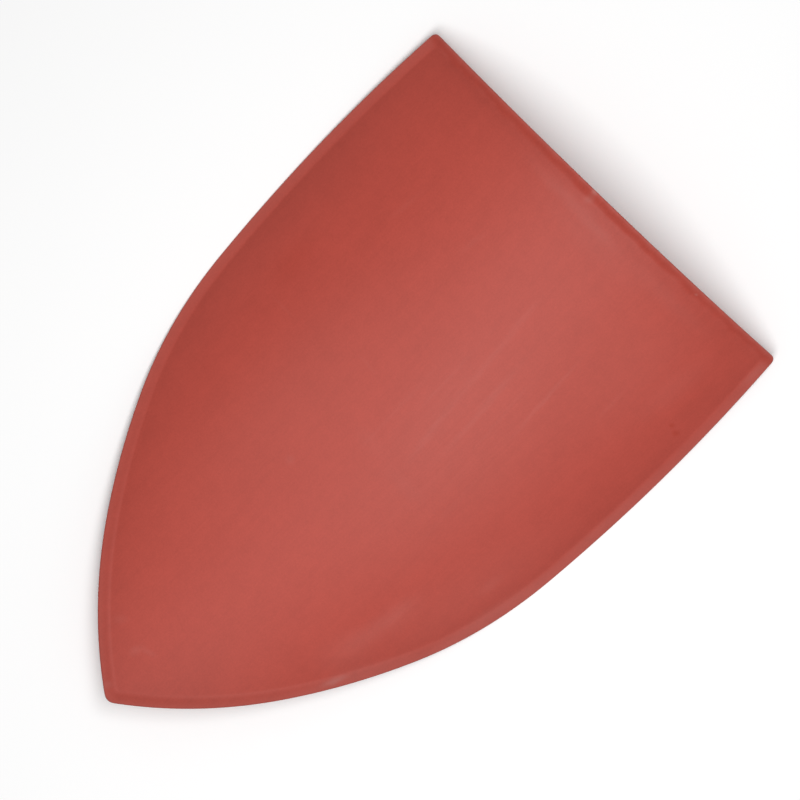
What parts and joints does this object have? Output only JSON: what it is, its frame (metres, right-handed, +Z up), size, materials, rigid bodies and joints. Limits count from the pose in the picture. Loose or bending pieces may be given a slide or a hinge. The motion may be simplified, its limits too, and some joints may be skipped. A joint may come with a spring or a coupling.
{
  "type": "heraldic shield",
  "caption": "Heater-shaped heraldic shield: a plain red shell bowed across its width, with a narrow lip turned forward all round its edge.",
  "frame": {"origin": "below the middle of the shield's box, on the surface that it lies on with its front up", "axes": "+Y runs along the shield to its straight top edge, -Y to its point, +Z up out of the bowed front, +X to the right as seen from the front"},
  "size_m": [0.5088, 0.7548, 0.0948],
  "materials": {
    "red_shell": "semi-matt brick red, lightly rubbed along the bow and worn at the lip"
  },
  "bodies": {
    "root": {"shield": "red_shell"}
  },
  "joints": []
}
